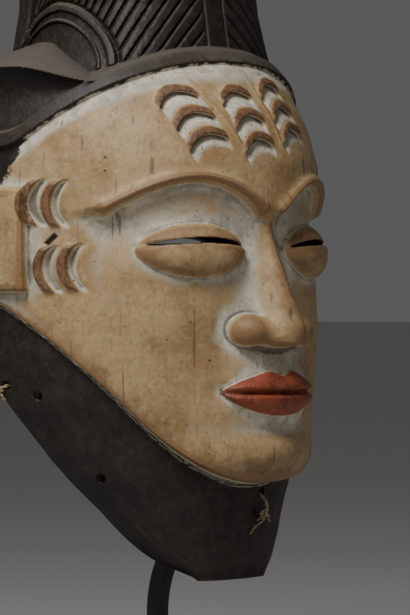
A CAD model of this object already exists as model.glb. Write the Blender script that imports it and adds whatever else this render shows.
"""A carved and painted wooden mask on its black bar stand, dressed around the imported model."""

import math

import bmesh
import bpy
import numpy as np
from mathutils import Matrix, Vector


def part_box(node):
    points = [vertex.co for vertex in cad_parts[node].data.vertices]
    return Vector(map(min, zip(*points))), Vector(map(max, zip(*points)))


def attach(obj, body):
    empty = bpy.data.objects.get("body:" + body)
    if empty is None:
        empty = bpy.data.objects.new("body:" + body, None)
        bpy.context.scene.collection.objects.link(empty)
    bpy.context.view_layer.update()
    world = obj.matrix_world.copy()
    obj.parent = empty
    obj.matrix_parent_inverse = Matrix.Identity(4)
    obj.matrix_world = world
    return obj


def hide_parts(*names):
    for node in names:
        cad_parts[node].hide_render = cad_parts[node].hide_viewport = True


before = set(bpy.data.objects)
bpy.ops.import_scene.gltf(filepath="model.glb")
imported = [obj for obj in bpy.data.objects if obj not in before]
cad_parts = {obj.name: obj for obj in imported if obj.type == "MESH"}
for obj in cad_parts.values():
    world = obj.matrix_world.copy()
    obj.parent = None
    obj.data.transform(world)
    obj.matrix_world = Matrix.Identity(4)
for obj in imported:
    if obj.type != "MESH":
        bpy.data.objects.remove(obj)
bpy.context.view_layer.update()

# Camera: it stands at the photograph's angle, level with the middle of the face and to its proper right.
# The view is 277 mm tall at the mask and the camera is 1.3 m away, as for a portrait lens.
MM = 0.001
mask_low, mask_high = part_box("mask")
BACK_DEPTH = 94.0
MASK_FRONT = mask_high.y / MM - BACK_DEPTH


def in_frame(x, y, z):
    """A place on the carving, in millimetres from the collar's lowest front point, in the frame."""
    return Vector((x * MM, (y + MASK_FRONT) * MM, mask_low.z + z * MM))


CAMERA_TURN = math.radians(-45.0)
CAMERA_RISE = math.radians(0.0)
CAMERA_AWAY = 1.3
VIEW_TALL = 0.27675
CAMERA_AIM = (-23.75, -1.25, 123.75)


def in_scene(name, data):
    made = bpy.data.objects.new(name, data)
    bpy.context.scene.collection.objects.link(made)
    return made


camera_data = bpy.data.cameras.new("camera")
camera = in_scene("camera", camera_data)
back = Vector((
    math.sin(CAMERA_TURN) * math.cos(CAMERA_RISE),
    -math.cos(CAMERA_TURN) * math.cos(CAMERA_RISE),
    math.sin(CAMERA_RISE),
))
camera.location = in_frame(*CAMERA_AIM) + back * CAMERA_AWAY
camera.rotation_euler = back.to_track_quat("Z", "Y").to_euler()
camera_data.sensor_fit = "VERTICAL"
camera_data.angle = 2.0 * math.atan(VIEW_TALL / 2.0 / CAMERA_AWAY)
bpy.context.scene.camera = camera

# The mask is one block of light wood, carved outside with adze and knife and hollowed from behind.
# Every height below is in millimetres above the flat cut under the collar, every depth behind the
# collar's front, and the surface is worked out as a distance from the line down the open back.


def ramp(a, b, t):
    u = np.clip((t - a) / (b - a), 0.0, 1.0)
    return u * u * (3.0 - 2.0 * u)


def hump(d, w):
    return np.exp(-((d / w) ** 2))


def union(a, b):
    """The higher of two swellings, run into each other where they meet."""
    return (np.maximum(a, 0.0) ** 4 + np.maximum(b, 0.0) ** 4) ** 0.25


def curve(stations):
    """A smooth curve through the stations that never overshoots them."""
    xs = np.array([s[0] for s in stations], float)
    ys = np.array([s[1] for s in stations], float)
    steps = np.diff(ys) / np.diff(xs)
    slopes = np.empty_like(xs)
    slopes[0] = steps[0]
    slopes[-1] = steps[-1]
    product = steps[:-1] * steps[1:]
    total = steps[:-1] + steps[1:]
    slopes[1:-1] = np.where(product > 0, 2.0 * product / np.where(total == 0, 1.0, total), 0.0)

    def at(place):
        place = np.clip(place, xs[0], xs[-1])
        i = np.clip(np.searchsorted(xs, place) - 1, 0, len(xs) - 2)
        h = xs[i + 1] - xs[i]
        t = (place - xs[i]) / h
        value = (1 + 2 * t) * (1 - t) ** 2 * ys[i] + t * t * (3 - 2 * t) * ys[i + 1]
        return value + h * (t * (1 - t) ** 2 * slopes[i] - t * t * (1 - t) * slopes[i + 1])

    return at


def lattice_noise(u, v, seed):
    """Smooth noise between -1 and 1, one lump for each unit of u and v."""
    grid = np.random.default_rng(seed).uniform(-1.0, 1.0, (64, 64))
    iu, iv = np.floor(u).astype(int), np.floor(v).astype(int)
    fu, fv = u - iu, v - iv
    fu, fv = fu * fu * (3 - 2 * fu), fv * fv * (3 - 2 * fv)
    low = grid[iu % 64, iv % 64] * (1 - fu) + grid[(iu + 1) % 64, iv % 64] * fu
    high = grid[iu % 64, (iv + 1) % 64] * (1 - fu) + grid[(iu + 1) % 64, (iv + 1) % 64] * fu
    return low * (1 - fv) + high * fv


HAIRLINE = 235.0
CHIN = 43.0
rim_depth = curve([
    (-12, 3), (0, 6), (9, 19), (18, 28), (34, 40), (47, 49), (66, 60),
    (85, 71), (110, 84), (130, 91.5), (150, BACK_DEPTH),
])
head_half_width = curve([
    (-12, 14), (0, 21), (9, 35), (18, 43), (34, 53), (47, 62.5), (66, 73), (85, 82), (110, 87),
    (150, 88.5), (180, 88), (200, 86), (215, 82), (228, 77), (240, 67), (247, 48), (251, 8),
])
collar_front = curve([(-12, -1), (0, 0), (20, -3.5), (43, -7), (70, -10), (100, -14), (130, -15)])
face_front = curve([
    (40, -10), (48, -18), (58, -21), (72, -19.5), (90, -19), (108, -17), (130, -16), (155, -15),
    (173, -18), (188, -17), (200, -14), (210, -10), (220, -4), (232, 4), (240, 14), (247, 40), (251, 86),
])
head_fullness = curve([(0, 2), (45, 1.95), (70, 1.75), (100, 1.78), (150, 2.05)])
FACE_STEP = 2.6
JAW_HALF_WIDTH = 87.0
JAW_RISE = 86.0


def jaw_height(x):
    return CHIN + JAW_RISE * (np.minimum(np.abs(x), JAW_HALF_WIDTH) / JAW_HALF_WIDTH) ** 2.3


def above_jaw(angle, z):
    return z - jaw_height(head_half_width(z) * np.sin(angle))


def oval_reach(sine, cosine, half_width, depth, power):
    side = (np.abs(sine) / half_width) ** power
    front = np.sign(cosine) * (np.abs(cosine) / depth) ** power
    return np.maximum(side + front, 1e-9) ** (-1.0 / power)


def head_reach(angle, z):
    sine = np.sin(angle)
    in_face = ramp(0.0, 2.2, above_jaw(angle, z))
    front = collar_front(z) + (face_front(z) - collar_front(z)) * in_face
    reach = oval_reach(sine, np.cos(angle), head_half_width(z), rim_depth(z) - front, head_fullness(z))
    return reach + FACE_STEP * in_face


CREST_FOOT = 222.0
CREST_SHOULDER = 258.0
MASK_TALL = (mask_high.z - mask_low.z) / MM + 0.5
CREST_TAPER = 0.06
crest_half_width = curve([(CREST_FOOT, 65), (240, 58), (262, 53)])
crest_front = curve([(CREST_FOOT, 8), (240, 13), (262, 17)])


def crest_reach(angle, z):
    over = np.clip((z - CREST_SHOULDER) / (MASK_TALL - CREST_SHOULDER), 0.0, 1.0)
    shrink = (1.0 - over**2.3) ** (1 / 2.3)
    depth = (BACK_DEPTH - crest_front(z)) * shrink
    narrowed = 1.0 - CREST_TAPER * ramp(math.radians(60), math.radians(92), np.abs(angle))
    width = crest_half_width(z) * shrink
    return narrowed * oval_reach(np.sin(angle), np.cos(angle), width + 1e-6, depth + 1e-6, 3.4)


DIADEM_HALF_WIDTH = 4.0
DIADEM_PROUD = 2.8
DIADEM_DROP, DIADEM_LOWEST, DIADEM_EASE = 38.0, 40.0, 2.5
TEMPLE = math.radians(66.0)


def diadem_height(angle):
    drop = DIADEM_DROP * (np.abs(angle) / TEMPLE) ** 2.2
    levelled = np.logaddexp(-drop / DIADEM_EASE, -DIADEM_LOWEST / DIADEM_EASE)
    return HAIRLINE + DIADEM_HALF_WIDTH + DIADEM_EASE * levelled


# A lobe of hair stands out over each temple, with a sharp lower edge and a hollowed underside.
LOBE_TIP = 44.0
LOBE_PROUD = 16.5
LOBE_EDGE_LOW = 225.0
LOBE_EDGE_RISE = 7.0
LOBE_TOP_RISE = 13.5


def lobe_reach(angle, z, band, head, crest):
    degrees = np.degrees(np.abs(angle))
    edge = LOBE_EDGE_LOW + LOBE_EDGE_RISE * ramp(LOBE_TIP, 68, degrees)
    grown = np.sqrt(np.clip((degrees - LOBE_TIP) / 18.0, 0.001, 1))
    top = edge + LOBE_TOP_RISE * grown * (1 - 0.3 * ramp(72, 92, degrees))
    spread = np.clip((degrees - LOBE_TIP) / (74.0 - LOBE_TIP), 0, 1)
    out = head_reach(angle, edge) + LOBE_PROUD * spread * (2 - spread)
    above = np.clip((z - edge) / (top - edge), 0, 1)
    below = np.clip((z - band) / np.maximum(edge - band, 1.0), 0, 1)
    upper = crest + (out - crest) * (1 - above) ** 0.85
    lower = head + (out - head) * below**3.2
    return np.where(degrees > LOBE_TIP, np.where(z > edge, np.where(z < top, upper, 0.0), lower), 0.0)


# Each arch: its reach to the front and to the back, its rise, and half the width of its raised band.
ARCH_MIDDLE = 65.0
ARCH_FOOT = 229.0
ARCHES = ((35.0, 26.0, 32.4, 1.7), (29.5, 23.5, 26.3, 0.9))
ARCH_SUNK, ARCH_PROUD, ARCH_FALL = 1.6, 1.7, 3.2
ARCH_LEAST_SIDE, ARCH_BELOW_FOOT = 20, 8


def arch_distance(arch, y, z):
    to_front, to_back, rise, _ = arch
    reach = np.where(y < ARCH_MIDDLE, to_front, to_back)
    power = np.where(y < ARCH_MIDDLE, 1.75, 2.0)
    up = np.maximum(z - ARCH_FOOT, 0.0) / rise
    q = ((np.abs(y - ARCH_MIDDLE) / reach) ** power + up**power) ** (1 / power)
    return (q - 1.0) * (reach + rise) / 2.0


def arch_relief(side, y, z):
    relief = -ARCH_SUNK * ramp(-1.0, 2.0, -arch_distance(ARCHES[0], y, z))
    for arch in ARCHES:
        off = np.abs(arch_distance(arch, y, z))
        relief = np.maximum(relief, ARCH_PROUD - ARCH_FALL * ramp(arch[3] - 0.6, arch[3] + 0.8, off))
    within = 1 - ramp(ARCHES[0][3] - 0.2, ARCHES[0][3] + 1.0, arch_distance(ARCHES[0], y, z))
    return np.where((side > ARCH_LEAST_SIDE) & (z > ARCH_FOOT - ARCH_BELOW_FOOT), relief * within, 0.0)


# Ribs of hair run down from a plain middle band, as a chevron, and end in a groove around the arches.
# A plain strip borders them at the back.
RIB_PITCH = 8.6
RIB_RISE = 0.85
RIB_BEND = 0.008
RIB_HALF_WIDTH, RIB_CROWN = 2.9, 0.35
GROOVE_HALF_WIDTH, GROOVE_DEPTH = 1.25, 2.0
MIDDLE_BAND, MIDDLE_GROOVE_DEPTH = 6.2, 1.6
STRIP_FRONT, STRIP_PROUD = 84.0, 1.4


def run_along(a, b):
    """How far along its line each place of a line lies."""
    return np.concatenate([[0.0], np.cumsum(np.hypot(np.diff(a), np.diff(b)))])


crest_heights = np.linspace(200.0, MASK_TALL - 0.3, 1200)
climbs = run_along(crest_heights, BACK_DEPTH - crest_reach(0.0, crest_heights))
climbs -= np.interp(HAIRLINE, crest_heights, climbs)
crest_turns = np.linspace(0.0, math.pi / 2, 400)
ring_reach = crest_reach(crest_turns, 250.0)
ring_runs = run_along(ring_reach * np.sin(crest_turns), ring_reach * np.cos(crest_turns))


def rib_relief(angle, y, z):
    s = np.interp(np.abs(angle), crest_turns, ring_runs)
    away = s - MIDDLE_BAND
    turns = (np.interp(z, crest_heights, climbs) + RIB_RISE * away + RIB_BEND * away**2) / RIB_PITCH
    off = np.abs(turns - np.round(turns)) * RIB_PITCH / np.hypot(1.0, RIB_RISE + 2 * RIB_BEND * away)
    groove = np.maximum(0.0, 1.0 - off / GROOVE_HALF_WIDTH)
    ribs = -GROOVE_DEPTH * groove + RIB_CROWN * (1 - (1 - off / RIB_HALF_WIDTH) ** 2)
    off_arch = arch_distance(ARCHES[0], y, z) - ARCHES[0][3]
    ribs = np.minimum(ribs * ramp(0.2, 1.2, off_arch), -GROOVE_DEPTH * hump(off_arch - 1.2, 0.9))
    middle = -MIDDLE_GROOVE_DEPTH * hump(s - MIDDLE_BAND, 0.7)
    hair = ribs * ramp(MIDDLE_BAND + 0.5, MIDDLE_BAND + 4.5, s) + middle
    high = ramp(240, 244, z)
    strip = STRIP_PROUD * ramp(STRIP_FRONT + 0.5, STRIP_FRONT + 1.5, y) * high
    strip = strip - GROOVE_DEPTH * hump(y - STRIP_FRONT, 0.8) * high
    return hair * (1 - ramp(STRIP_FRONT - 1.0, STRIP_FRONT + 0.5, y)) + strip


# The face is of a traditional, general kind, laid out on thirds of its height and fifths of its width.
THIRD = (HAIRLINE - CHIN) / 3.0
FIFTH = 34.4
BROW_RISE = 14.0
BROW_FOOT = CHIN + 2 * THIRD - 2.5
BROW_MIDDLE = 1.08 * FIFTH
BROW_REACH = 0.9 * FIFTH
EYE_MIDDLE = 1.05 * FIFTH
EYE_REACH = 0.66 * FIFTH
EYE_HEIGHT = CHIN + 1.66 * THIRD
EYE_RISE = 12.5
LID_SWELL = 8.0
SLIT_RISE = 3.0
NOSE_BASE = CHIN + THIRD
WING_MIDDLE = 0.41 * FIFTH
MOUTH_HEIGHT = NOSE_BASE - THIRD / 3
MOUTH_REACH = 0.8 * FIFTH
UPPER_LIP = 9.5
LOWER_LIP = 11.0


def brow_distance(side, z):
    share = np.clip((side - BROW_MIDDLE) / BROW_REACH, -1, 1)
    steepness = np.hypot(1.0, 2 * BROW_RISE * share / BROW_REACH)
    return (z - BROW_FOOT - BROW_RISE * (1 - share * share)) / steepness


def brow(side, z):
    beyond = np.maximum(np.abs(side - BROW_MIDDLE) - BROW_REACH, 0)
    d = brow_distance(side, z)
    ridge = 2.8 * hump(d, 2.4) * hump(beyond, 2.5)
    socket = -5.0 * ramp(0, 5, -d) * hump(np.maximum(-d - 8, 0), 15) * hump(beyond, 7)
    return ridge + socket


def eye(side, z):
    u = (side - EYE_MIDDLE) / EYE_REACH
    open_share = np.maximum(1 - u * u, 0.0)
    half = EYE_RISE * open_share**0.6 + 1e-6
    t = (z - EYE_HEIGHT) / half
    lid = LID_SWELL * open_share**0.4 * np.maximum(1 - t * t, 0.0) ** 0.55
    line = z - slit_height(side)
    crease = -1.5 * hump(line, 1.1) * ramp(-1.08, -0.9, u) * (1 - ramp(0.9, 1.08, u))
    return np.where(open_share > 0, lid, 0.0) + crease


def slit_height(side):
    u = (side - EYE_MIDDLE) / EYE_REACH
    return EYE_HEIGHT + 1.5 + SLIT_RISE * (1 - np.minimum(u * u, 1.3))


# The nose is set out from its base up.
nose_half_width = curve([(-3, 11.5), (8, 12), (16, 10.5), (28, 9), (45, 8.5), (THIRD, 11)])
nose_rise = curve([(-3, 16), (6, 18.5), (14, 16.5), (28, 11.5), (45, 6.5), (THIRD, 1.0), (THIRD + 12, 0.0)])


def nose(side, z):
    up = z - NOSE_BASE
    ridge = nose_rise(up) * np.exp(-((side / nose_half_width(up)) ** 2.4))
    wing = 12.0 * np.maximum(1 - ((side - WING_MIDDLE) / 10) ** 2 - ((up - 6.5) / 8.5) ** 2, 0) ** 0.65
    fold = 1.2 * hump(np.hypot((side - WING_MIDDLE - 11) / 4, (up - 8) / 12), 1.0)
    nostril = 2.2 * hump(np.hypot((side - 9.5) / 4.0, (up + 0.6) / 1.6), 1.0)
    return union(ridge, wing) * ramp(-3.2, 1.4, up) - fold - nostril


def lip_share(side, z):
    """0 on the line between the lips, 1 on their outline."""
    u = np.minimum(side / MOUTH_REACH, 1.0)
    open_share = np.maximum(1 - u**2.2, 0.0) ** 0.8
    bow = 1.7 * hump(side, 4.0) - 0.8 * hump(side - 7.5, 4.5)
    reach = np.where(z > MOUTH_HEIGHT, UPPER_LIP * open_share - bow * open_share, LOWER_LIP * open_share)
    return np.abs(z - MOUTH_HEIGHT) / np.maximum(reach, 0.05), open_share


def mouth(side, z):
    up = z - MOUTH_HEIGHT
    share, open_share = lip_share(side, z)
    lips = 6.0 * open_share**0.4 * np.maximum(1 - np.minimum(share, 1.0) ** 2.6, 0) ** 0.6
    line = -3.6 * hump(up, 1.3) * open_share**0.3
    corner = -1.6 * hump(np.hypot((side - MOUTH_REACH - 0.5) / 4.5, up / 5), 1.0)
    philtrum = -0.9 * hump(side, 3.0) * hump(z - NOSE_BASE + 6, 5.5)
    under_lip = -2.2 * hump(side, 15) * hump(up + LOWER_LIP + 5, 4.5)
    return 4.5 * hump(side, 30) * hump(up, 20) + lips + line + corner + philtrum + under_lip


def cheeks_and_chin(side, z):
    chin = 4.0 * hump(side, 17) * hump(z - CHIN - 14, 10)
    cheek = 3.0 * hump(side - 1.45 * FIFTH, 22) * hump(z - NOSE_BASE - 8, 20)
    return chin + cheek


# Three columns of arched scales stand on the forehead, each with a hollow under its lip.
SCALE_COLUMNS = (((-40, 224), (-30, 195)), ((-11, 225.5), (-4, 193)), ((14, 230), (22, 199)))
SCALE_COUNT = 3
SCALE_HALF_WIDTH = 9.5
SCALE_ARCH = 4.6
SCALE_LIP = 3.6
SCALE_RIDGES = (((-31, 230), (-14, 195)), ((2, 231), (11, 195)))


def along_line(x, z, top, foot):
    """How far down a sloping line a place lies, how far off it, and the line's length."""
    run = math.hypot(foot[0] - top[0], foot[1] - top[1])
    ux, uz = (foot[0] - top[0]) / run, (foot[1] - top[1]) / run
    return (x - top[0]) * ux + (z - top[1]) * uz, (z - top[1]) * ux - (x - top[0]) * uz, run


def forehead_scars(x, z):
    """Relief of the scales, and shares of worn lips and of the hollows under them."""
    relief, lip, well = np.zeros_like(x), np.zeros_like(x), np.zeros_like(x)
    for top, foot in SCALE_COLUMNS:
        down, across, run = along_line(x, z, top, foot)
        pitch = run / SCALE_COUNT
        bent = down - SCALE_ARCH * (across / SCALE_HALF_WIDTH) ** 2
        inside = 1 - ramp(SCALE_HALF_WIDTH - 1.0, SCALE_HALF_WIDTH + 0.6, np.abs(across))
        inside = inside * ((bent >= 0) & (bent <= SCALE_COUNT * pitch))
        t = np.mod(bent, pitch)
        hollow = ramp(SCALE_LIP, SCALE_LIP + 0.9, t) * (1 - ramp(SCALE_LIP + 0.9, pitch, t))
        edge = ramp(0, 1.2, t) * (1 - ramp(SCALE_LIP, SCALE_LIP + 0.9, t))
        relief += inside * (1.3 * edge - 2.4 * hollow)
        lip += inside * edge
        well += inside * ramp(SCALE_LIP, SCALE_LIP + 0.9, t)
    for top, foot in SCALE_RIDGES:
        down, across, run = along_line(x, z, top, foot)
        relief += 0.5 * hump(across, 0.8) * ramp(-2, 3, down) * (1 - ramp(run - 3, run + 2, down))
    return relief, lip, well


# Two pairs of bowed welts stand on each temple, with a groove behind each.
TEMPLE_SCARS = ((61, 170.5), (54.6, 170), (57.5, 140.5), (50.6, 141.5))
WELT_HALF_HEIGHT, WELT_BOW, WELT_PROUD = 10.0, 4.5, 2.1


def temple_welts(angle, z, reach):
    relief, top = np.zeros_like(z), np.zeros_like(z)
    for degrees, height in TEMPLE_SCARS:
        along = (z - height) / WELT_HALF_HEIGHT
        d = (np.abs(angle) - math.radians(degrees)) * reach - WELT_BOW * (1 - along * along)
        end = 1 - ramp(0.85, 1.15, np.abs(along))
        band = 1 - ramp(1.5, 3.0, np.abs(d))
        relief += end * (WELT_PROUD * band - 2.2 * hump(d + 4.6, 2.0))
        top += end * band
    return relief, top


# A chip between the scars of the proper right temple, and stains on that side of the face. Each
# stain: its turn in degrees, its height, its size and how dark it is.
FACE_RADIUS = 90
CHIP_ANGLE, CHIP_HEIGHT = -55.9, 154.0
STAINS = (
    (-30.2, 196.0, 1.6, 0.5), (-27.0, 88.0, 1.0, 0.35), (-49.0, 122.0, 1.2, 0.3), (-14.0, 77.0, 1.0, 0.3),
)


def damage(angle, z):
    u, v = (angle - math.radians(CHIP_ANGLE)) * FACE_RADIUS, z - CHIP_HEIGHT
    along, across = (u + v) * 0.7071, (v - u) * 0.7071
    chip = (1 - ramp(2.7, 3.5, np.abs(along))) * (1 - ramp(0.9, 1.5, np.abs(across)))
    stain = np.zeros_like(z)
    for degrees, height, size, strength in STAINS:
        off = np.hypot((angle - math.radians(degrees)) * FACE_RADIUS, (z - height) * 0.7)
        stain = np.maximum(stain, strength * hump(off, size))
    return chip, stain


# The ears are plain flat plates with a shallow hollow.
EAR_FRONT = 51.0
EAR_FOOT = 131.0
EAR_HEAD = 177.0
EAR_PROUD = 5.0


def ear(y, z):
    edge = ramp(EAR_FRONT - 1.2, EAR_FRONT + 1.2, y) * ramp(EAR_FOOT - 1.2, EAR_FOOT + 1.2, z)
    inside = edge * (1 - ramp(EAR_HEAD - 3, EAR_HEAD + 3, z))
    across = (y - EAR_FRONT - 19) / 9.0
    up = (z - (EAR_FOOT + EAR_HEAD) / 2) / 15.0
    return EAR_PROUD * inside * (1 - 0.7 * hump(np.hypot(across, up), 0.9))


SHOULDER_SLOPE = 1.5
CHIP_DEPTH = 1.6


def under_diadem(angle, z, band):
    """The straight bed of the diadem, from the forehead to the foot of the crest."""
    foot, top = band - DIADEM_HALF_WIDTH, band + DIADEM_HALF_WIDTH
    share = (z - foot) / (2 * DIADEM_HALF_WIDTH)
    low, high = head_reach(angle, foot), head_reach(angle, top)
    high = np.where(band > CREST_FOOT, np.maximum(high, crest_reach(angle, top)), high)
    return np.where((share >= 0) & (share <= 1), low + (high - low) * share, 0.0)


def carve(angle, z):
    """Reach of the finished surface, and shares of hair, lips and worn scars there."""
    band = diadem_height(angle)
    head = head_reach(angle, z)
    crest = np.where(z > CREST_FOOT, crest_reach(angle, z), 0.0)
    in_hair = z > band - DIADEM_HALF_WIDTH
    shoulder = head - SHOULDER_SLOPE * np.maximum(z - band - DIADEM_HALF_WIDTH, 0.0)
    hair_line = np.maximum(np.maximum(shoulder, crest), lobe_reach(angle, z, band, head, crest))
    hair_line = np.maximum(hair_line, under_diadem(angle, z, band))
    plain = np.where(in_hair, hair_line, head)
    x = plain * np.sin(angle)
    y = rim_depth(z) - plain * np.cos(angle)
    side = np.abs(x)
    off_band = np.abs(z - band)
    diadem = DIADEM_PROUD * (1 - ramp(DIADEM_HALF_WIDTH - 1.4, DIADEM_HALF_WIDTH + 0.8, off_band))
    above = ramp(DIADEM_HALF_WIDTH, DIADEM_HALF_WIDTH + 1.5, z - band)
    on_crest = np.where(crest >= plain, above, 0.0)
    hair = np.maximum(diadem, on_crest * arch_relief(side, y, z))
    hair = hair + on_crest * rib_relief(angle, y, z)
    on_face = ramp(0, 3, above_jaw(angle, z))
    scales, lips_of_scales, wells = forehead_scars(x, z)
    welts, tops = temple_welts(angle, z, plain)
    chip, stain = damage(angle, z)
    features = brow(side, z) + eye(side, z) + nose(side, z) + mouth(side, z) + cheeks_and_chin(side, z)
    skin = diadem + on_face * (features + scales + welts) + ear(y, z) * ramp(70, 76, side) - CHIP_DEPTH * chip
    reach = plain + np.where(in_hair, hair, skin)
    share, open_share = lip_share(side, z)
    red = np.where((open_share > 0.02) & (np.abs(x) < 40) & ~in_hair, 1 - share, -1.0)
    return {
        "reach": reach, "scale": np.clip(lips_of_scales, 0, 1), "welt": tops, "well": wells, "red": red,
        "chip": np.maximum(chip, stain),
    }


SHEET_FOOT = -12.0
SHEET_TURN = math.radians(97.0)
COLUMNS, ROWS = 640, 700
EVEN_SHARE, EVEN_TOP = 0.88, 285.0
around = np.linspace(-1, 1, COLUMNS)
sheet_angles = SHEET_TURN * (0.85 * around + 0.15 * around**3)
upward = np.linspace(0, 1, ROWS)
even = SHEET_FOOT + (EVEN_TOP - SHEET_FOOT) * upward / EVEN_SHARE
eased = np.sin(math.pi / 2 * np.clip((upward - EVEN_SHARE) / (1 - EVEN_SHARE), 0, 1))
sheet_heights = np.where(upward < EVEN_SHARE, even, EVEN_TOP + (MASK_TALL - 0.5 - EVEN_TOP) * eased)
angle_grid, height_grid = np.meshgrid(sheet_angles, sheet_heights)
carving = carve(angle_grid, height_grid)


# Low waves left by the adze, the flats of the knife, and its finest cuts. Each: depth, width and height
# in millimetres, where its noise starts, and its seed.
HAND_RADIUS = 88.0
HAND_MARKS = ((0.28, 14, 17, (9, 5), 3), (0.16, 5, 7, (2, 8), 4), (0.06, 1.7, 2.6, (0, 0), 5))


def hand_marks(s, z):
    return sum(
        depth * lattice_noise(s / wide + start[0], z / tall + start[1], seed)
        for depth, wide, tall, start, seed in HAND_MARKS
    )


surface = carving["reach"] + hand_marks(angle_grid * HAND_RADIUS, height_grid)


def solid_object(name, corners, faces):
    """A closed mesh in metres from places in the carving's millimetres."""
    mesh = bpy.data.meshes.new(name)
    placed = np.asarray(corners, float) * MM
    placed[:, 1] += MASK_FRONT * MM
    placed[:, 2] += mask_low.z
    if isinstance(faces, np.ndarray):
        sizes, loops = np.full(len(faces), faces.shape[1]), faces.ravel()
    else:
        sizes, loops = np.array([len(f) for f in faces]), np.concatenate(faces)
    mesh.vertices.add(len(placed))
    mesh.vertices.foreach_set("co", placed.ravel())
    mesh.loops.add(len(loops))
    mesh.loops.foreach_set("vertex_index", loops.astype(np.int32))
    mesh.polygons.add(len(sizes))
    starts = np.concatenate([[0], np.cumsum(sizes)[:-1]])
    mesh.polygons.foreach_set("loop_start", starts.astype(np.int32))
    mesh.update(calc_edges=True)
    mesh.validate()
    return in_scene(name, mesh)


def closed_sheet(name, angles, reaches, heights, apex):
    """A sheet around the back line, closed by a fan to a point behind it."""
    rows, columns = reaches.shape
    across, deep = reaches * np.sin(angles), rim_depth(heights) - reaches * np.cos(angles)
    corners = np.vstack([np.stack([across, deep, heights], -1).reshape(-1, 3), [apex]])
    ids = np.arange(rows * columns).reshape(rows, columns)
    a, b, c, d = ids[:-1, :-1], ids[:-1, 1:], ids[1:, 1:], ids[1:, :-1]
    mirrored = angles[:-1, :-1, None] >= 0
    first = np.where(mirrored, np.stack([a, b, d], -1), np.stack([a, b, c], -1))
    second = np.where(mirrored, np.stack([b, c, d], -1), np.stack([a, c, d], -1))
    triangles = np.concatenate([first.reshape(-1, 3), second.reshape(-1, 3)])
    ring = np.concatenate([ids[0, :-1], ids[:-1, -1], ids[-1, :0:-1], ids[:0:-1, 0]])
    fan = np.stack([np.roll(ring, -1), ring, np.full(len(ring), rows * columns)], -1)
    return solid_object(name, corners, np.vstack([triangles, fan]))


def modified(target, kind, **settings):
    """Applies one modifier to the object's mesh."""
    modifier = target.modifiers.new(kind.lower(), kind)
    for key, value in settings.items():
        setattr(modifier, key, value)
    graph = bpy.context.evaluated_depsgraph_get()
    mesh = bpy.data.meshes.new_from_object(target.evaluated_get(graph))
    target.modifiers.clear()
    old = target.data
    target.data = mesh
    bpy.data.meshes.remove(old)
    return target


def cut(target, cutter):
    modified(target, "BOOLEAN", operation="DIFFERENCE", solver="MANIFOLD", object=cutter)
    bpy.data.objects.remove(cutter)


BEHIND = 320.0
mask = closed_sheet("mask_carving", angle_grid, surface, height_grid, (0.0, BEHIND, MASK_TALL + 0.5))

# The rim is sawn and rasped: its line wanders a little, and the collar is cut flat below.
CUT_WIDE, CUT_LOW, CUT_TOP = 160.0, -60.0, 400.0
rim_z = np.linspace(SHEET_FOOT, 150.0, 60)
rim_y = rim_depth(rim_z) + 0.25 * lattice_noise(rim_z / 6, rim_z * 0, 11)
outline = [(y, z) for y, z in zip(rim_y, rim_z) if z > 0.5]
outline = [(CUT_LOW, 0.0), (float(rim_depth(0.0)), 0.0)] + outline
outline += [(BACK_DEPTH, CUT_TOP), (BEHIND + 40, CUT_TOP), (BEHIND + 40, CUT_LOW), (CUT_LOW, CUT_LOW)]
corners = [(x, y, z) for x in (-CUT_WIDE, CUT_WIDE) for y, z in outline]


def tube_faces(rings, sides, closed=False):
    """Faces between rings of corners, with flat ends unless the last ring meets the first."""
    faces = []
    for i in range(rings if closed else rings - 1):
        a, b = i * sides, (i + 1) % rings * sides
        faces += [[a + k, a + (k + 1) % sides, b + (k + 1) % sides, b + k] for k in range(sides)]
    if not closed:
        faces += [list(range(sides))[::-1], [(rings - 1) * sides + k for k in range(sides)]]
    return faces


def outward(target):
    """Triangles only, with their normals facing out."""
    edit = bmesh.new()
    edit.from_mesh(target.data)
    bmesh.ops.triangulate(edit, faces=edit.faces)
    bmesh.ops.recalc_face_normals(edit, faces=edit.faces)
    edit.to_mesh(target.data)
    edit.free()
    return target


cut(mask, outward(solid_object("behind", corners, tube_faces(2, len(outline)))))

# The hollow: a wall's thickness inside the head, domed under the hair, with broad gouge cuts left in it.
FACE_WALL = 13.0
RIM_WALL = 8.0
CAVITY_FOOT, CAVITY_SHOULDER, CAVITY_TOP = 12.0, 168.0, 228.0
CAVITY_CELLS = 170
GOUGE_CUTS, GOUGE_DEPTH = 9, 0.012


def cavity_reach(angle, z):
    width = head_half_width(z) - RIM_WALL
    front = np.where(z < 130, collar_front(z), face_front(z))
    depth = rim_depth(z) - front - FACE_WALL
    over = np.clip((z - CAVITY_SHOULDER) / (CAVITY_TOP - CAVITY_SHOULDER), 0, 1)
    dome = np.sqrt(np.maximum(1 - over * over, 0.0004))
    return dome * oval_reach(np.sin(angle), np.cos(angle), width, depth, head_fullness(z))


upward = np.linspace(0, 1, CAVITY_CELLS)
upward = 0.3 * upward + 0.7 * (0.5 - 0.5 * np.cos(math.pi * upward))
inner_angle, inner_height = np.meshgrid(
    np.linspace(-SHEET_TURN, SHEET_TURN, CAVITY_CELLS), CAVITY_FOOT + (CAVITY_TOP - CAVITY_FOOT) * upward,
)
bend = 0.8 * lattice_noise(inner_height / 30, inner_angle * 4, 21)
scoop = np.abs(np.sin(inner_angle * GOUGE_CUTS + bend))
faded = 1 - 0.5 * np.abs(lattice_noise(inner_height / 12, inner_angle * 6, 22))
inner = cavity_reach(inner_angle, inner_height) * (1 - GOUGE_DEPTH * scoop * faded)
cut(mask, closed_sheet("hollow", inner_angle, inner, inner_height, (0.0, BEHIND, 110.0)))

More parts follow.
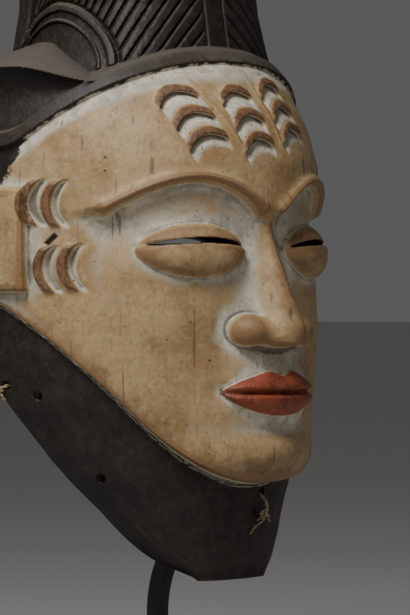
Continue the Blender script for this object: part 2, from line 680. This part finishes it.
# A slit is pierced through each eye, and small holes are drilled through the collar near its rim.
SLIT_AT_MIDDLE, SLIT_AT_ENDS = 2.6, 0.9
SLIT_SHARE = 0.86
SLIT_CUTTER_REACH = 55.0
HOLE_WIDE = 4.6
TIE_HOLE_HEIGHT = 86.0
TIE_LOOP_REACH = 6.0
CHIN_TIE_SIDE, CHIN_TIE_HEIGHT = 8.0, 33.0
CHIN_TIE_HALF_SPAN, CHIN_TIE_PROUD, CHIN_TIE_SINK = 7.0, 5.5, 1.4
PLAIN_HOLES = ((-76, 84), (-72, 47), (74, 66))
open_corners, open_faces = [], []


def opening(front, back):
    """Adds to the cutters the solid between two rings of places."""
    first = len(open_corners)
    open_corners.extend(tuple(p) for p in (*front, *back))
    open_faces.extend([first + i for i in face] for face in tube_faces(2, len(front)))


for sign in (-1, 1):
    share = np.linspace(-1, 1, 41)
    side = EYE_MIDDLE + share * EYE_REACH * SLIT_SHARE
    gap = SLIT_AT_ENDS + (SLIT_AT_MIDDLE - SLIT_AT_ENDS) * (1 - share**2)
    gap = gap * np.sqrt(np.maximum(1 - share**10, 0.02))
    line = slit_height(side)
    slit = list(zip(sign * side, line - gap / 2)) + list(zip(sign * side, line + gap / 2))[::-1]
    opening([(x, -SLIT_CUTTER_REACH, z) for x, z in slit], [(x, SLIT_CUTTER_REACH, z) for x, z in slit])


def circle(count):
    return np.linspace(0, 2 * math.pi, count, endpoint=False)


def drill(start, end):
    """A round hole from one place to another, in the carving's millimetres."""
    start, end = Vector(start), Vector(end)
    turn = (end - start).to_track_quat("Z", "Y")
    ring = [turn @ Vector((math.cos(a), math.sin(a), 0)) * HOLE_WIDE / 2 for a in circle(20)]
    opening([start + p for p in ring], [end + p for p in ring])


def at_reach(degrees, z, more):
    angle = math.radians(degrees)
    reach = float(head_reach(angle, z)) + more
    return reach * math.sin(angle), float(rim_depth(z)) - reach * math.cos(angle), z


for degrees, height in PLAIN_HOLES:
    drill(at_reach(degrees, height, -2 * RIM_WALL - 6), at_reach(degrees, height, 8))

rim_slope = float(rim_depth(TIE_HOLE_HEIGHT + 4) - rim_depth(TIE_HOLE_HEIGHT - 4))
rim_along = Vector((0, rim_slope, 8.0)).normalized()
rim_inward = Vector((0, -rim_along.z, rim_along.y))
rim_side = float(head_half_width(TIE_HOLE_HEIGHT)) - RIM_WALL / 2
rim_middle = Vector((-rim_side, float(rim_depth(TIE_HOLE_HEIGHT)), TIE_HOLE_HEIGHT))
chord = math.sqrt(TIE_LOOP_REACH**2 - (RIM_WALL / 2) ** 2)
rim_hole = rim_middle + rim_inward * (TIE_LOOP_REACH + chord) / 2
rim_across = Vector((2 * RIM_WALL, 0, 0))
drill(rim_hole + rim_across, rim_hole - rim_across)

chin_tie_depth = float(collar_front(CHIN_TIE_HEIGHT)) + FACE_WALL / 2 + CHIN_TIE_SINK
chin_tie_reach = FACE_WALL / 2 + CHIN_TIE_PROUD
chord = math.sqrt(1 - (FACE_WALL / 2 / chin_tie_reach) ** 2)
chin_spread = CHIN_TIE_HALF_SPAN * (1 + chord) / 2
chin_near, chin_far = chin_tie_depth - 2 * FACE_WALL, chin_tie_depth + 2 * FACE_WALL
for z in (CHIN_TIE_HEIGHT - chin_spread, CHIN_TIE_HEIGHT + chin_spread):
    drill((CHIN_TIE_SIDE, chin_far, z), (CHIN_TIE_SIDE, chin_near, z))
cut(mask, outward(solid_object("openings", open_corners, open_faces)))

MASK_FACES = 190000
MASK_SHARP = math.radians(42)
modified(mask, "DECIMATE", ratio=MASK_FACES / len(mask.data.polygons))
mask.data.shade_smooth()
mask.data.set_sharp_from_angle(angle=MASK_SHARP)
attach(mask, "root")
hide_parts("mask")


# The finish follows the carving, so each corner of the mesh keeps how far it lies from the
# hairline, the jaw, the lips and the scars, and whether it stands proud of what is around it.
def blurred(field, cells):
    """The field averaged over a square of cells three times, close to a round brush."""
    for _ in range(3):
        for axis in (0, 1):
            pad = [(0, 0), (0, 0)]
            pad[axis] = (cells + 1, cells)
            sums = np.cumsum(np.pad(field, pad, mode="edge"), axis)
            span = 2 * cells + 1
            high = np.take(sums, np.arange(span, sums.shape[axis]), axis)
            low = np.take(sums, np.arange(0, sums.shape[axis] - span), axis)
            field = (high - low) / span
    return field


def looked_up(field, angle, z):
    column = np.clip(np.interp(angle, sheet_angles, np.arange(COLUMNS)), 0, COLUMNS - 1.001)
    row = np.clip(np.interp(z, sheet_heights, np.arange(ROWS)), 0, ROWS - 1.001)
    i, j = column.astype(int), row.astype(int)
    fi, fj = column - i, row - j
    low = field[j, i] * (1 - fi) + field[j, i + 1] * fi
    high = field[j + 1, i] * (1 - fi) + field[j + 1, i + 1] * fi
    return low * (1 - fj) + high * fj


places = np.empty(len(mask.data.vertices) * 3)
mask.data.vertices.foreach_get("co", places)
places = places.reshape(-1, 3) / MM
mx, my, mz = places[:, 0], places[:, 1] - MASK_FRONT, places[:, 2] - mask_low.z / MM
m_angle, m_reach = np.arctan2(mx, rim_depth(mz) - my), np.hypot(mx, rim_depth(mz) - my)
found = carve(m_angle, mz)
above_band = mz - diadem_height(m_angle) + DIADEM_HALF_WIDTH
from_jaw = above_jaw(m_angle, mz)
behind_temple = my - 63.0 + 0.45 * (mz - 179.0) + 1.8 * lattice_noise(my / 3.5, mz / 5, 31)
behind_temple = 0.45 * np.minimum(behind_temple, mz - 179.0 + lattice_noise(my / 4, mz / 4, 32))
ridge = looked_up(surface - blurred(surface, 4), m_angle, mz)
swell = looked_up(surface - blurred(surface, 14), m_angle, mz)
halo = 1 - np.clip(np.abs(found["red"] + 0.15) / 0.6, 0, 1)
halo = np.where(found["red"] > -0.9, halo, 0.0)
temple = hump(np.hypot((np.degrees(np.abs(m_angle)) - 55) / 13, (mz - 156) / 24), 1.0)
white = (1 - ramp(3, 12, -above_band)) + 0.8 * (1 - ramp(3, 13, from_jaw)) + 0.9 * halo
white = white + 0.3 * temple - 0.42 * np.clip(swell, -3, 2.5) - 0.5 * np.clip(ridge, -1, 1)
white = white + 0.9 * found["well"] + 0.5 * hump(np.hypot((mx + 8) / 34, (mz - 214) / 20), 1.0)
slit_share = (np.abs(mx) - EYE_MIDDLE) / (EYE_REACH * SLIT_SHARE)
slit_half = (SLIT_AT_ENDS + (SLIT_AT_MIDDLE - SLIT_AT_ENDS) * (1 - slit_share**2)) / 2
in_slit = (np.abs(slit_share) < 1.02) & (np.abs(mz - slit_height(np.abs(mx))) < slit_half + 0.25)
within = np.where(np.abs(m_angle) < SHEET_TURN, found["reach"] - m_reach, 9.0)
chin_grime = hump(np.hypot((mx + 6) / 30, (mz - 50) / 13), 1.0)
fields = {
    "dark_mm": np.maximum(np.maximum(above_band, -from_jaw), behind_temple),
    "white": white,
    "red": found["red"],
    "ridge": ridge,
    "scar": np.maximum(found["scale"], found["welt"]),
    "chip": np.where(in_slit, 1.0, found["chip"]),
    "within": np.where(mz < CAVITY_TOP + 4, within, -1.0),
    "jaw_mm": from_jaw,
    "handled": np.maximum(chin_grime, 0.6 * (1 - ramp(2, 24, from_jaw))),
}
for name, values in fields.items():
    layer = mask.data.attributes.new(name, "FLOAT", "POINT")
    layer.data.foreach_set("value", np.asarray(values, np.float32))


def colour(code, alpha=1.0):
    """A colour given as sRGB hex, turned to linear."""
    parts = [int(code[i:i + 2], 16) / 255 for i in (1, 3, 5)]
    return (*[p / 12.92 if p <= 0.04045 else ((p + 0.055) / 1.055) ** 2.4 for p in parts], alpha)


def finish(name):
    made = bpy.data.materials.new(name)
    made.use_nodes = True
    made.node_tree.nodes.clear()
    return made


def dress(target, material):
    target.data.materials.clear()
    target.data.materials.append(material)


def node(material, kind, settings=None, out=0, **inputs):
    """Adds a node with its settings; an input that is a socket is linked, and any other is set."""
    made = material.node_tree.nodes.new("ShaderNode" + kind)
    for key, value in (settings or {}).items():
        setattr(made, key, value)
    for key, value in inputs.items():
        socket = made.inputs[int(key[1:])] if key[1:].isdigit() else made.inputs[key.replace("_", " ")]
        if isinstance(value, bpy.types.NodeSocket):
            material.node_tree.links.new(value, socket)
        else:
            socket.default_value = value
    return made.outputs[out] if made.outputs else None


# Carved light wood under worn earth paints: chalky white kaolin in the hollows, honey-brown rubbed
# wood where hands wore it off, red camwood on the lips, and charcoal black on hair and collar.
paint = finish("kaolin_and_charcoal_on_carved_wood")
MIX = {"data_type": "RGBA"}
SMOOTH = {"interpolation_type": "SMOOTHSTEP"}
ADD, TIMES, MOST = {"operation": "MULTIPLY_ADD"}, {"operation": "MULTIPLY"}, {"operation": "MAXIMUM"}
GRAIN_MM, BRUSH_MM, PATCH_MM, CLOUD_MM, PIT_MM, SPECK_MM, SCRATCH_MM = 1.1, 2.2, 7.0, 26.0, 7.5, 3.6, 2.6
spot = node(paint, "TexCoord", out="Object")
up_grain = node(paint, "Mapping", Vector=spot, Scale=(1.0, 1.0, 0.09))
slant = node(paint, "Mapping", Vector=spot, Rotation=(0.5, 0.35, 0.0), Scale=(1.0, 1.0, 0.03))
grain, brush, patch, cloud, scratch = (
    node(paint, "TexNoise", Vector=way, Scale=1000 / size, Detail=detail, Roughness=rough, Distortion=bend)
    for way, size, detail, rough, bend in (
        (up_grain, GRAIN_MM, 3.0, 0.6, 0.0), (spot, BRUSH_MM, 4.0, 0.65, 0.0),
        (spot, PATCH_MM, 5.0, 0.62, 0.4), (spot, CLOUD_MM, 4.0, 0.6, 0.0),
        (slant, SCRATCH_MM, 1.0, 0.5, 0.0),
    )
)
here = {name: node(paint, "Attribute", {"attribute_name": name}, "Fac") for name in fields}
handled = node(paint, "Math", ADD, i0=patch, i1=1.6, i2=here["handled"])
facing = node(paint, "SeparateXYZ", i0=node(paint, "NewGeometry", out="Normal"), out="Z")

# Each tone is a ground colour under thin layers of others. A layer comes in between two values of its
# pattern, up to its own strength.
tones = {}
for tone, ground, layers in (
    # Bare wood rubbed to a honey brown, darker in the clouds and where it was handled.
    ("tan", "#BFA175", (
        (cloud, 0.38, 0.66, 1.0, "#A58459"), (patch, 0.52, 0.72, 0.35, "#8F6A45"),
        (grain, 0.55, 0.75, 0.35, "#7C5836"), (brush, 0.5, 0.72, 0.45, "#86694A"),
        (brush, 0.47, 0.3, 0.4, "#D2BE99"), (handled, 1.0, 1.9, 0.75, "#735534"),
    )),
    # Kaolin: chalk white, greyer where it is thin.
    ("chalk", "#DFD6C3", ((patch, 0.35, 0.65, 1.0, "#B9B09C"), (brush, 0.5, 0.7, 0.6, "#A08F74"))),
    # Red-brown on the worn lips of the scars.
    ("scar", "#835E42", ((brush, 0.4, 0.65, 1.0, "#5C3E2D"),)),
    # Camwood red on the lips, rubbed to brown on their crests.
    ("red", "#9A432D", ((patch, 0.42, 0.66, 1.0, "#713123"), (grain, 0.56, 0.72, 0.5, "#C08A66"))),
    # Charcoal black on hair and collar, dusty on the ribs and on what faces up.
    ("black", "#1A130E", (
        (patch, 0.4, 0.68, 1.0, "#332820"), (brush, 0.52, 0.7, 0.5, "#463A2E"),
        (here["ridge"], -0.3, 0.9, 0.28, "#564A40"), (grain, 0.52, 0.72, 0.45, "#130F0D"),
        (facing, 0.5, 0.9, 0.42, "#827A6E"), (facing, -0.1, -0.6, 0.8, "#0D0A09"),
    )),
    # Bare wood behind the mask, brown with age and sweat.
    ("bare", "#8A6A48", ((grain, 0.35, 0.7, 1.0, "#5C432B"), (cloud, 0.45, 0.7, 0.6, "#4A3624"))),
):
    tones[tone] = colour(ground)
    for pattern, low, high, most, code in layers:
        share = node(paint, "MapRange", SMOOTH, Value=pattern, i1=low, i2=high, i4=most)
        tones[tone] = node(paint, "Mix", MIX, 2, i0=share, i6=tones[tone], i7=colour(code))

# Where each finish lies: a field kept on the mesh, its edge made ragged by patterns.
shares = {}
for finish_name, field, patterns, low, high, most in (
    ("chalked", "white", ((patch, 1.7), (brush, 0.8)), 1.4, 2.25, 1.0),
    ("rubbed", "ridge", ((patch, 0.9),), 0.75, 1.15, 0.75),
    ("stained", "scar", ((brush, 1.3), (patch, 0.9)), 1.5, 2.1, 0.85),
    ("deep", "ridge", (), -0.9, -1.9, 0.7),
    ("reddened", "red", ((brush, 0.16),), 0.09, 0.17, 0.92),
    ("blackened", "dark_mm", ((patch, 6.0), (brush, 3.0)), 4.0, 5.0, 1.0),
    ("hollowed", "within", (), 1.0, 1.8, 1.0),
):
    edge = here[field]
    for pattern, amount in patterns:
        edge = node(paint, "Math", ADD, i0=pattern, i1=amount, i2=edge)
    shares[finish_name] = node(paint, "MapRange", SMOOTH, Value=edge, i1=low, i2=high, i4=most)

# Dirt lies in the deepest cuts, in small pits and specks, and in a few long scratches.
dots = []
for size, low, high, most, pattern, start, full in (
    (PIT_MM, 0.1, 0.045, 1.0, cloud, 0.5, 0.6), (SPECK_MM, 0.17, 0.08, 0.6, patch, 0.46, 0.6),
):
    cell = node(paint, "TexVoronoi", Vector=spot, Scale=1000 / size, out="Distance")
    dot = node(paint, "MapRange", SMOOTH, Value=cell, i1=low, i2=high, i4=most)
    amid = node(paint, "MapRange", SMOOTH, Value=pattern, i1=start, i2=full)
    dots.append(node(paint, "Math", TIMES, i0=dot, i1=amid))
pits = node(paint, "Math", MOST, i0=dots[0], i1=dots[1])
scratch = node(paint, "MapRange", SMOOTH, Value=scratch, i1=0.68, i2=0.74, i4=0.5)
soil = pits
for more in (scratch, shares["deep"], here["chip"]):
    soil = node(paint, "Math", MOST, i0=soil, i1=more)

# The black is scuffed along the jaw's edge, and the sawn rim and the hollow were never painted.
scuff = node(paint, "Math", ADD, i0=brush, i1=1.4, i2=here["jaw_mm"])
scuff = node(paint, "Math", {"operation": "ABSOLUTE"}, i0=scuff)
scuff = node(paint, "MapRange", SMOOTH, Value=scuff, i1=0.42, i2=0.15, i4=0.8)
amid = node(paint, "MapRange", SMOOTH, Value=patch, i1=0.42, i2=0.55)
scuff = node(paint, "Math", TIMES, i0=scuff, i1=amid)
black = node(paint, "Mix", MIX, 2, i0=scuff, i6=tones["black"], i7=colour("#B9AE9B"))
sawn = node(paint, "SeparateXYZ", i0=node(paint, "NewGeometry", out="True Normal"), out="Y")
sawn = node(paint, "MapRange", SMOOTH, Value=sawn, i1=0.42, i2=0.55)
unpainted = node(paint, "Math", MOST, i0=shares["hollowed"], i1=sawn)
whole = tones["tan"]
for share, over in (
    (shares["chalked"], tones["chalk"]), (shares["rubbed"], colour("#8E6B48")),
    (shares["stained"], tones["scar"]), (soil, colour("#4B3B2E")), (shares["reddened"], tones["red"]),
    (shares["blackened"], black), (unpainted, tones["bare"]),
):
    whole = node(paint, "Mix", MIX, 2, i0=share, i6=whole, i7=over)

# Chalk is dry and rough; rubbed wood has a low sheen. The relief is grain, brush marks and pits.
rough = node(paint, "MapRange", Value=shares["chalked"], i3=0.52, i4=0.88)
rough = node(paint, "Mix", i0=shares["blackened"], i2=rough, i3=0.57)
heights = brush
for pattern, amount in ((grain, 0.35), (shares["chalked"], 0.3), (pits, -1.5), (scratch, -0.6)):
    heights = node(paint, "Math", ADD, i0=pattern, i1=amount, i2=heights)
relief = node(paint, "Bump", Height=heights, Distance=0.22 * MM, Strength=0.8)
shader = node(paint, "BsdfPrincipled", Base_Color=whole, Roughness=rough, Normal=relief, IOR=1.47)
node(paint, "OutputMaterial", Surface=shader)
dress(mask, paint)

# Ties of two-ply plant fibre go through the drilled holes. They held a costume of raffia, and
# what is left of them is knotted on the collar, with a few loose ends lying on the wood.
CORD_THICK = 1.6
PLY_TURN = 5.0
PLY_SHARE = 0.27


def carried(path, closed, up=None):
    """Each place of a path with its way, and a side that turns as little as it can."""
    for i, here in enumerate(path):
        before = path[i - 1] if closed or i else here
        after = path[(i + 1) % len(path)] if closed or i + 1 < len(path) else here
        way = (after - before).normalized()
        up = (way.orthogonal() if up is None else up - way * up.dot(way)).normalized()
        yield here, way, up


def swept(name, path, section, closed=False):
    """A section of (across, up) carried along a path, with flat ends or joined into a ring."""
    corners = [
        tuple(here + way.cross(up) * a + up * b)
        for here, way, up in carried(path, closed) for a, b in section
    ]
    return outward(solid_object(name, corners, tube_faces(len(path), len(section), closed)))


def round_section(radius, sides):
    return [(radius * math.cos(a), radius * math.sin(a)) for a in circle(sides)]


def through(places, step=0.5):
    """A path through the places, rounded at each."""
    p = [Vector(q) for q in places]
    p = [p[0] * 2 - p[1], *p, p[-1] * 2 - p[-2]]
    found = []
    for a, b, c, d in zip(p, p[1:], p[2:], p[3:]):
        steps = max(int((c - b).length / step), 2)
        for i in range(steps):
            t = i / steps
            bent = b * 2 + (c - a) * t + (a * 2 - b * 5 + c * 4 - d) * t**2
            found.append((bent + (b * 3 - a - c * 3 + d) * t**3) / 2)
    return [*found, p[-2]]


def strands(name, path, closed=False, thick=CORD_THICK, seed=0):
    """Two plies wound round each other along a path."""
    rng = np.random.default_rng(seed)
    run = np.cumsum([0.0] + [(b - a).length for a, b in zip(path, path[1:])])
    total = run[-1] + ((path[0] - path[-1]).length if closed else 0.0)
    turns = round(total / PLY_TURN) if closed else total / PLY_TURN
    made = []
    for half in (0.0, math.pi):
        ply = []
        for run_so_far, (here, way, up) in zip(run, carried(path, closed, Vector((0.2, 0.5, 1)))):
            turn = half + 2 * math.pi * turns * run_so_far / total
            off = PLY_SHARE * thick * (1 + rng.uniform(-0.1, 0.1))
            ply.append(here + (up * math.cos(turn) + way.cross(up) * math.sin(turn)) * off)
        made.append(swept(name, ply, round_section(PLY_SHARE * thick, 7), closed))
    return made


def joined(name, pieces):
    """The pieces as one object."""
    edit = bmesh.new()
    for piece in pieces:
        edit.from_mesh(piece.data)
        bpy.data.objects.remove(piece)
    mesh = bpy.data.meshes.new(name)
    edit.to_mesh(mesh)
    edit.free()
    mesh.shade_smooth()
    return in_scene(name, mesh)


def on_collar(x, z, off):
    """A place in front of the collar, that far off its wood."""
    angle = 0.0
    for _ in range(12):
        angle = math.asin(np.clip(x / float(head_reach(angle, z)), -1, 1))
    reach = float(head_reach(angle, z)) + off
    return Vector((reach * math.sin(angle), float(rim_depth(z)) - reach * math.cos(angle), z))


def coil(middle, axis, radius, turns, advance):
    """A short winding around a cord, for a knot."""
    way = Vector(axis).normalized()
    side = way.orthogonal().normalized()
    steps = int(turns * 14)
    return [middle + way * advance * (i / steps - 0.5)
            + (side * math.cos(2 * math.pi * turns * i / steps)
               + way.cross(side) * math.sin(2 * math.pi * turns * i / steps)) * radius
            for i in range(steps + 1)]


# Dry plant fibre: pale straw with grey-brown hairs in it, dull all over.
FIBRE_MM = 0.6
fibre = finish("twisted_plant_fibre")
fibre_spot = node(fibre, "TexCoord", out="Object")
fibre_noise = node(fibre, "TexNoise", Vector=fibre_spot, Scale=1000 / FIBRE_MM, Detail=3.0)
fibre_share = node(fibre, "MapRange", SMOOTH, Value=fibre_noise, i1=0.35, i2=0.65)
fibre_tone = node(fibre, "Mix", MIX, 2, i0=fibre_share, i6=colour("#C2B08C"), i7=colour("#7A6A50"))
fibre_relief = node(fibre, "Bump", Height=fibre_noise, Distance=0.15 * MM)
fibre_shader = node(
    fibre, "BsdfPrincipled", Base_Color=fibre_tone, Roughness=0.9, Normal=fibre_relief, IOR=1.5,
)
node(fibre, "OutputMaterial", Surface=fibre_shader)

# The rim tie is a ring of cord around the collar's edge on the proper right, through the one hole
# there. Its knot sits outside, and one short end is left of it.
rim_loop = [rim_middle + (Vector((-1, 0, 0)) * math.cos(t) + rim_inward * math.sin(t)) * TIE_LOOP_REACH
            for t in circle(76)]
rim_knot = rim_middle + Vector((-0.97, 0, 0)) * TIE_LOOP_REACH + rim_inward * 1.2
rim_end = through([rim_knot, rim_knot + Vector((0.3, -1.6, -2.6)), rim_knot + Vector((1.6, -2.6, -5.0))])
tie_rim = joined("rim_tie", [
    *strands("ply", rim_loop, True, seed=1),
    *strands("ply", coil(rim_knot, rim_inward, 1.5, 2.4, 2.6), thick=1.3, seed=2),
    *strands("ply", rim_end, thick=1.2, seed=3),
])

# The chin tie is a ring of cord through the two holes under the chin. It is knotted in front, and its
# two ends lie down on the collar.
chin_loop = [
    Vector((
        CHIN_TIE_SIDE, chin_tie_depth - chin_tie_reach * math.cos(t),
        CHIN_TIE_HEIGHT + CHIN_TIE_HALF_SPAN * math.sin(t),
    ))
    for t in circle(90)
]
chin_knot = Vector((CHIN_TIE_SIDE, chin_tie_depth - chin_tie_reach * 0.83, CHIN_TIE_HEIGHT - 3.9))
chin_ends = [
    through([chin_knot, chin_knot + Vector(first), on_collar(*middle), on_collar(*last)])
    for first, middle, last in (
        ((-1.6, -0.6, -2.4), (4.2, 23.5, 1.2), (2.0, 20.4, 0.7)),
        ((2.6, -0.5, -0.6), (13.5, 27.2, 1.2), (17.0, 25.4, 0.7)),
    )
]
tie_chin = joined("chin_tie", [
    *strands("ply", chin_loop, True, seed=4),
    *strands("ply", coil(chin_knot, (0, 0.5, 1), 1.5, 2.6, 2.8), thick=1.3, seed=5),
    *strands("ply", chin_ends[0], thick=1.1, seed=6),
    *strands("ply", chin_ends[1], thick=1.1, seed=7),
])
for tie, node_name in ((tie_rim, "tie_rim"), (tie_chin, "tie_chin")):
    dress(tie, fibre)
    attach(tie, "root")
    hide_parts(node_name)

# The stand is a square steel bar, bent twice and welded upright on a thick steel plate, all sprayed
# satin black. The mask only hangs over the bar's end, which stops under the roof of its hollow.
BAR_SIDE = 7.5
BAR_EDGE = 0.6
BAR_LEAN = math.radians(38.0)
BAR_BEND, BAR_KNEE = 50.0, 30.0
BAR_BEND_BELOW_COLLAR = 2.0
STAND_SHARP = math.radians(40)
QUARTERS = ((1, 1, 0), (-1, 1, 90), (-1, -1, 180), (1, -1, 270))

# Satin black: nearly even, with fine orange peel and slow changes of tone and sheen.
ORANGE_PEEL_MM, WEAR_MM = 0.9, 18.0
black_paint = finish("satin_black_spray_paint_on_steel")
paint_spot = node(black_paint, "TexCoord", out="Object")
orange_peel = node(black_paint, "TexNoise", Vector=paint_spot, Scale=1000 / ORANGE_PEEL_MM, Detail=2.0)
paint_wear = node(black_paint, "TexNoise", Vector=paint_spot, Scale=1000 / WEAR_MM, Detail=4.0)
paint_share = node(black_paint, "MapRange", SMOOTH, Value=paint_wear, i1=0.4, i2=0.7)
paint_tone = node(black_paint, "Mix", MIX, 2, i0=paint_share, i6=colour("#161514"), i7=colour("#232120"))
paint_rough = node(black_paint, "MapRange", Value=paint_wear, i3=0.36, i4=0.52)
paint_relief = node(black_paint, "Bump", Height=orange_peel, Distance=0.03 * MM, Strength=0.6)
paint_shader = node(black_paint, "BsdfPrincipled", Base_Color=paint_tone, Roughness=paint_rough,
                    Normal=paint_relief, IOR=1.5)
node(black_paint, "OutputMaterial", Surface=paint_shader)

bar_low, bar_high = (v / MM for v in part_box("stand_bar"))
lower_depth, upper_depth = bar_high.y - BAR_SIDE / 2, bar_low.y + BAR_SIDE / 2
bend_height = mask_low.z / MM - BAR_BEND_BELOW_COLLAR
knee_height = bend_height + (lower_depth - upper_depth) / math.tan(BAR_LEAN)
turning = [
    Vector(place) for place in (
        (lower_depth, bar_low.z), (lower_depth, bend_height),
        (upper_depth, knee_height), (upper_depth, bar_high.z),
    )
]
route = [turning[0]]
for before, at, after, radius in zip(turning, turning[1:], turning[2:], (BAR_BEND, BAR_KNEE)):
    back_way, on_way = (before - at).normalized(), (after - at).normalized()
    half = back_way.angle(on_way) / 2
    swing = math.pi / 2 - half
    centre = at + (back_way + on_way).normalized() * radius / math.sin(half)
    from_centre, to_end = (at + way * radius / math.tan(half) - centre for way in (back_way, on_way))
    for t in np.linspace(-1, 1, 15):
        share = 0.5 + 0.5 * math.tan(t * swing) / math.tan(swing)
        route.append(centre + from_centre.lerp(to_end, share).normalized() * radius)
route.append(turning[-1])
flat = BAR_SIDE / 2 - BAR_EDGE
section = [(sx * flat + BAR_EDGE * math.cos(a), sy * flat + BAR_EDGE * math.sin(a))
           for sx, sy, start in QUARTERS
           for a in np.radians([start, start + 30, start + 60, start + 90])]
rods = []
for i, here in enumerate(route):
    way = (route[min(i + 1, len(route) - 1)] - route[max(i - 1, 0)]).normalized()
    rods += [(x, here.x - MASK_FRONT + way.y * s, here.y - mask_low.z / MM - way.x * s) for x, s in section]
bar = outward(solid_object("bent_bar", rods, tube_faces(len(route), len(section))))

# The foot is a flat plate cut from thick steel, with rounded corners and a small bevel all round. The
# bar is welded on it and it stands on the table by its own weight.
FOOT_CORNER, FOOT_BEVEL = 6.0, 1.5
foot_low, foot_high = (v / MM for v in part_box("stand_foot"))
rings = []
for t in np.linspace(0, math.pi / 2, 5):
    rings.append((FOOT_BEVEL * (1 - math.sin(t)), foot_low.z + FOOT_BEVEL * (1 - math.cos(t))))
rings += [(inset, foot_low.z + foot_high.z - z) for inset, z in rings[::-1]]
plate = []
for inset, z in rings:
    for sx, sy, start in QUARTERS:
        for a in np.radians(np.linspace(start, start + 90, 9)):
            x = sx * (foot_high.x - FOOT_CORNER) + (FOOT_CORNER - inset) * math.cos(a)
            y = sy * (foot_high.y - FOOT_CORNER) + (FOOT_CORNER - inset) * math.sin(a)
            plate.append((x, y - MASK_FRONT, z - mask_low.z / MM))
foot = outward(solid_object("foot_plate", plate, tube_faces(len(rings), len(plate) // len(rings))))
for piece, node_name in ((bar, "stand_bar"), (foot, "stand_foot")):
    piece.data.shade_smooth()
    piece.data.set_sharp_from_angle(angle=STAND_SHARP)
    dress(piece, black_paint)
    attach(piece, "root")
    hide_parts(node_name)

# Floor and light: a plain pale floor and a soft key lamp high on the left.
floor_mesh = bpy.data.meshes.new("floor")
FLOOR_REACH = 30
floor_corners = [(sx * FLOOR_REACH, sy * FLOOR_REACH, 0) for sx, sy, _ in QUARTERS]
floor_mesh.from_pydata(floor_corners, [], [(2, 3, 0, 1)])
floor = in_scene("floor", floor_mesh)
matt = finish("matt_studio_floor")
matt_shader = node(matt, "BsdfPrincipled", Base_Color=colour("#CFCECA"), Roughness=0.85)
node(matt, "OutputMaterial", Surface=matt_shader)
dress(floor, matt)
world = bpy.data.worlds.new("studio")
bpy.context.scene.world = world
world.use_nodes = True
sky = world.node_tree.nodes["Background"].inputs
sky["Color"].default_value = (0.76, 0.76, 0.77, 1)
sky["Strength"].default_value = 0.14


def soft_lamp(name, place, aim, size, power):
    data = bpy.data.lights.new(name, "AREA")
    data.shape = "DISK"
    data.size = size
    data.energy = power
    lamp = in_scene(name, data)
    lamp.location = place
    lamp.rotation_euler = (Vector(place) - Vector(aim)).to_track_quat("Z", "Y").to_euler()


soft_lamp("key", (-0.52, -0.18, 0.86), (-0.02, -0.03, 0.27), 0.36, 5.8)
soft_lamp("fill", (-1.2, -1.2, 0.9), (0.0, 0.0, 0.2), 1.2, 1.5)
